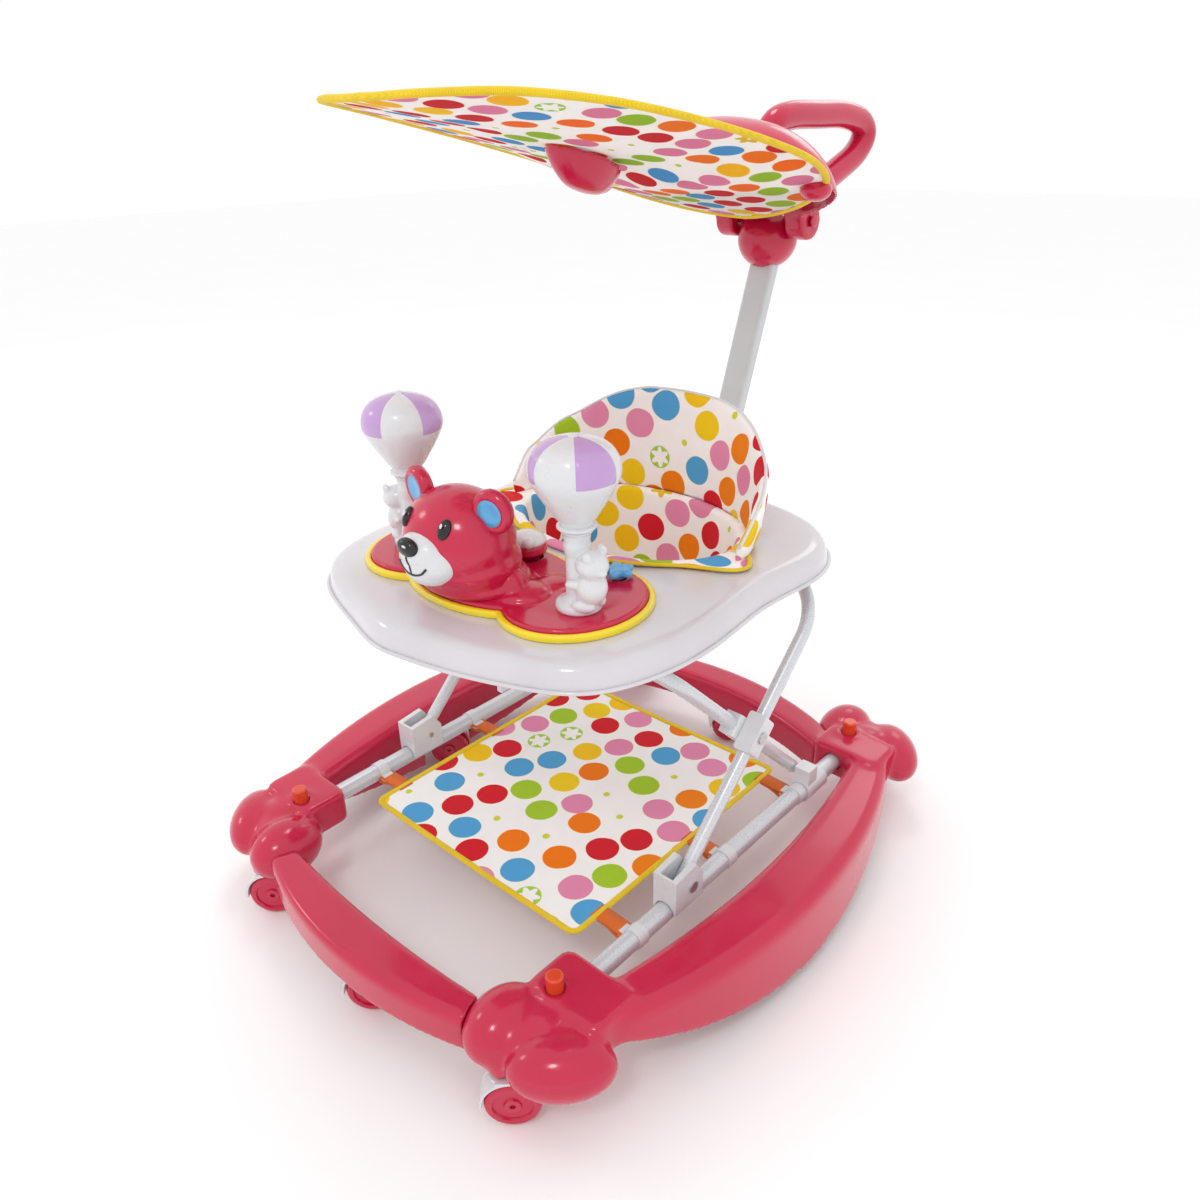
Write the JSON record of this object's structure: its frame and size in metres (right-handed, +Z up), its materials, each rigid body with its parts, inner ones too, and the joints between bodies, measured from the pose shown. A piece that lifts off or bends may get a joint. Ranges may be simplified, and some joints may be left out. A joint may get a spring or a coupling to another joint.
{
  "type": "baby walker",
  "caption": "Rocking baby walker on swivel casters with scissor legs, toy tray, padded sling seat, push bar and a canopy",
  "frame": {"origin": "floor level, under the middle of the bounding box", "axes": "+Z up, +Y to the rear, towards the push bar, +X to the right when seen from the front"},
  "size_m": [0.69, 0.9913, 0.8873],
  "materials": {
    "magenta_plastic": "blow-moulded, satin gloss",
    "white_plastic": "moulded, satin gloss",
    "orange_plastic": "moulded, glossy",
    "yellow_plastic": "moulded, glossy",
    "blue_plastic": "moulded, glossy",
    "lilac_plastic": "moulded, glossy",
    "black_plastic": "moulded, glossy",
    "painted_tube": "smooth enamel",
    "pin_steel": "turned",
    "print_fabric": "printed dots, padded",
    "mat_fabric": "printed dots, flat woven",
    "strap_fabric": "woven tape"
  },
  "bodies": {
    "base": {"rocker_left": "magenta_plastic", "rocker_right": "magenta_plastic", "cross_member_front": "magenta_plastic", "cross_member_rear": "magenta_plastic", "rail_left": "painted_tube", "rail_right": "painted_tube", "rear_tees": "white_plastic", "foot_mat": "mat_fabric", "mat_straps": "strap_fabric", "mat_hooks": "white_plastic"},
    "press_front_left": {"button_front_left": "orange_plastic"},
    "press_front_right": {"button_front_right": "orange_plastic"},
    "press_rear_left": {"button_rear_left": "orange_plastic"},
    "press_rear_right": {"button_rear_right": "orange_plastic"},
    "swivel_front_left": {"caster_frame_front_left": "white_plastic"},
    "roll_front_left": {"caster_wheel_front_left": "magenta_plastic"},
    "swivel_front_middle": {"caster_frame_front_middle": "white_plastic"},
    "roll_front_middle": {"caster_wheel_front_middle": "magenta_plastic"},
    "swivel_front_right": {"caster_frame_front_right": "white_plastic"},
    "roll_front_right": {"caster_wheel_front_right": "magenta_plastic"},
    "swivel_side_left": {"caster_frame_side_left": "white_plastic"},
    "roll_side_left": {"caster_wheel_side_left": "magenta_plastic"},
    "swivel_side_right": {"caster_frame_side_right": "white_plastic"},
    "roll_side_right": {"caster_wheel_side_right": "magenta_plastic"},
    "swivel_rear_left": {"caster_frame_rear_left": "white_plastic"},
    "roll_rear_left": {"caster_wheel_rear_left": "magenta_plastic"},
    "swivel_rear_middle": {"caster_frame_rear_middle": "white_plastic"},
    "roll_rear_middle": {"caster_wheel_rear_middle": "magenta_plastic"},
    "swivel_rear_right": {"caster_frame_rear_right": "white_plastic"},
    "roll_rear_right": {"caster_wheel_rear_right": "magenta_plastic"},
    "rear_legs": {"rear_leg_frame": "painted_tube", "crossing_sleeves": "white_plastic", "crossing_pins": "pin_steel"},
    "front_legs": {"front_leg_frame": "painted_tube", "crossing_blocks": "white_plastic"},
    "slide_brackets": {"leg_brackets": "white_plastic", "bracket_pins": "pin_steel"},
    "tray": {"tray_shell": "white_plastic", "hinge_clips": "white_plastic", "height_racks": "white_plastic", "console_rim": "yellow_plastic", "console_deck": "magenta_plastic", "bear_head": "magenta_plastic", "bear_muzzle": "white_plastic", "bear_eyes_nose": "black_plastic", "bear_ear_pads": "blue_plastic", "balloon_stand_left": "white_plastic", "balloon_stand_right": "white_plastic", "seat_back": "print_fabric", "seat_bag": "print_fabric", "post_socket": "white_plastic", "push_post": "painted_tube", "handle_hub": "magenta_plastic", "push_handle": "magenta_plastic"},
    "canopy": {"canopy_hood": "magenta_plastic", "canopy_fabric": "print_fabric"},
    "balloon_l": {"balloon_left": "lilac_plastic"},
    "balloon_r": {"balloon_right": "lilac_plastic"},
    "drum": {"drum_button": "white_plastic"},
    "flower": {"flower_button": "blue_plastic"}
  },
  "joints": [
    {"name": "press_front_left", "type": "slide", "parent": "base", "child": "press_front_left", "axis": [0, 0, -1], "range_m": [0, 0.004], "stiffness_N_per_m": 300, "springref_m": -0.001},
    {"name": "press_front_right", "type": "slide", "parent": "base", "child": "press_front_right", "axis": [0, 0, -1], "range_m": [0, 0.004], "stiffness_N_per_m": 300, "springref_m": -0.001},
    {"name": "press_rear_left", "type": "slide", "parent": "base", "child": "press_rear_left", "axis": [0, 0, -1], "range_m": [0, 0.004], "stiffness_N_per_m": 300, "springref_m": -0.001},
    {"name": "press_rear_right", "type": "slide", "parent": "base", "child": "press_rear_right", "axis": [0, 0, -1], "range_m": [0, 0.004], "stiffness_N_per_m": 300, "springref_m": -0.001},
    {"name": "swivel_front_left", "type": "hinge", "parent": "base", "child": "swivel_front_left", "pos_m": [-0.213, -0.4576, 0.07], "axis": [0, 0, 1], "continuous": true},
    {"name": "roll_front_left", "type": "hinge", "parent": "swivel_front_left", "child": "roll_front_left", "pos_m": [-0.20565, -0.45082, 0.028], "axis": [-0.6782, 0.7349, 0], "continuous": true},
    {"name": "swivel_front_middle", "type": "hinge", "parent": "base", "child": "swivel_front_middle", "pos_m": [0, -0.4656, 0.07], "axis": [0, 0, 1], "continuous": true},
    {"name": "roll_front_middle", "type": "hinge", "parent": "swivel_front_middle", "child": "roll_front_middle", "pos_m": [0.00735, -0.45882, 0.028], "axis": [-0.6782, 0.7349, 0], "continuous": true},
    {"name": "swivel_front_right", "type": "hinge", "parent": "base", "child": "swivel_front_right", "pos_m": [0.213, -0.4576, 0.07], "axis": [0, 0, 1], "continuous": true},
    {"name": "roll_front_right", "type": "hinge", "parent": "swivel_front_right", "child": "roll_front_right", "pos_m": [0.22035, -0.45082, 0.028], "axis": [-0.6782, 0.7349, 0], "continuous": true},
    {"name": "swivel_side_left", "type": "hinge", "parent": "base", "child": "swivel_side_left", "pos_m": [-0.283, -0.1206, 0.07], "axis": [0, 0, 1], "continuous": true},
    {"name": "roll_side_left", "type": "hinge", "parent": "swivel_side_left", "child": "roll_side_left", "pos_m": [-0.27565, -0.11382, 0.028], "axis": [-0.6782, 0.7349, 0], "continuous": true},
    {"name": "swivel_side_right", "type": "hinge", "parent": "base", "child": "swivel_side_right", "pos_m": [0.283, -0.1206, 0.07], "axis": [0, 0, 1], "continuous": true},
    {"name": "roll_side_right", "type": "hinge", "parent": "swivel_side_right", "child": "roll_side_right", "pos_m": [0.29035, -0.11382, 0.028], "axis": [-0.6782, 0.7349, 0], "continuous": true},
    {"name": "swivel_rear_left", "type": "hinge", "parent": "base", "child": "swivel_rear_left", "pos_m": [-0.213, 0.2464, 0.07], "axis": [0, 0, 1], "continuous": true},
    {"name": "roll_rear_left", "type": "hinge", "parent": "swivel_rear_left", "child": "roll_rear_left", "pos_m": [-0.20565, 0.25318, 0.028], "axis": [-0.6782, 0.7349, 0], "continuous": true},
    {"name": "swivel_rear_middle", "type": "hinge", "parent": "base", "child": "swivel_rear_middle", "pos_m": [0, 0.2024, 0.07], "axis": [0, 0, 1], "continuous": true},
    {"name": "roll_rear_middle", "type": "hinge", "parent": "swivel_rear_middle", "child": "roll_rear_middle", "pos_m": [0.00735, 0.20918, 0.028], "axis": [-0.6782, 0.7349, 0], "continuous": true},
    {"name": "swivel_rear_right", "type": "hinge", "parent": "base", "child": "swivel_rear_right", "pos_m": [0.213, 0.2464, 0.07], "axis": [0, 0, 1], "continuous": true},
    {"name": "roll_rear_right", "type": "hinge", "parent": "swivel_rear_right", "child": "roll_rear_right", "pos_m": [0.22035, 0.25318, 0.028], "axis": [-0.6782, 0.7349, 0], "continuous": true},
    {"name": "fold", "type": "hinge", "parent": "base", "child": "rear_legs", "pos_m": [0, 0.0624, 0.119], "axis": [1, 0, 0], "range_deg": [0, 26]},
    {"name": "scissor", "type": "hinge", "parent": "rear_legs", "child": "front_legs", "pos_m": [0, -0.0656, 0.24261], "axis": [1, 0, 0], "range_deg": [-52, 0]},
    {"name": "tray_level", "type": "hinge", "parent": "front_legs", "child": "tray", "pos_m": [0, 0.08082, 0.384], "axis": [1, 0, 0], "range_deg": [0, 26]},
    {"name": "bracket_level", "type": "hinge", "parent": "front_legs", "child": "slide_brackets", "pos_m": [0, -0.1936, 0.119], "axis": [1, 0, 0], "range_deg": [0, 26]},
    {"name": "canopy_tilt", "type": "hinge", "parent": "tray", "child": "canopy", "pos_m": [0, 0.2524, 0.75], "axis": [1, 0, 0], "range_deg": [0, 25]},
    {"name": "spin_balloon_left", "type": "hinge", "parent": "tray", "child": "balloon_l", "pos_m": [-0.127, -0.2396, 0.53], "axis": [0, 0, 1], "continuous": true},
    {"name": "spin_balloon_right", "type": "hinge", "parent": "tray", "child": "balloon_r", "pos_m": [0.127, -0.2396, 0.53], "axis": [0, 0, 1], "continuous": true},
    {"name": "press_drum", "type": "slide", "parent": "tray", "child": "drum", "axis": [0, 0, -1], "range_m": [0, 0.004], "stiffness_N_per_m": 400, "springref_m": -0.0015},
    {"name": "press_flower", "type": "slide", "parent": "tray", "child": "flower", "axis": [0, 0, -1], "range_m": [0, 0.003], "stiffness_N_per_m": 300, "springref_m": -0.001}
  ],
  "couplings": [
    {"joint": "scissor", "follows": "fold", "ratio": -2},
    {"joint": "tray_level", "follows": "fold", "ratio": 1},
    {"joint": "bracket_level", "follows": "fold", "ratio": 1}
  ]
}
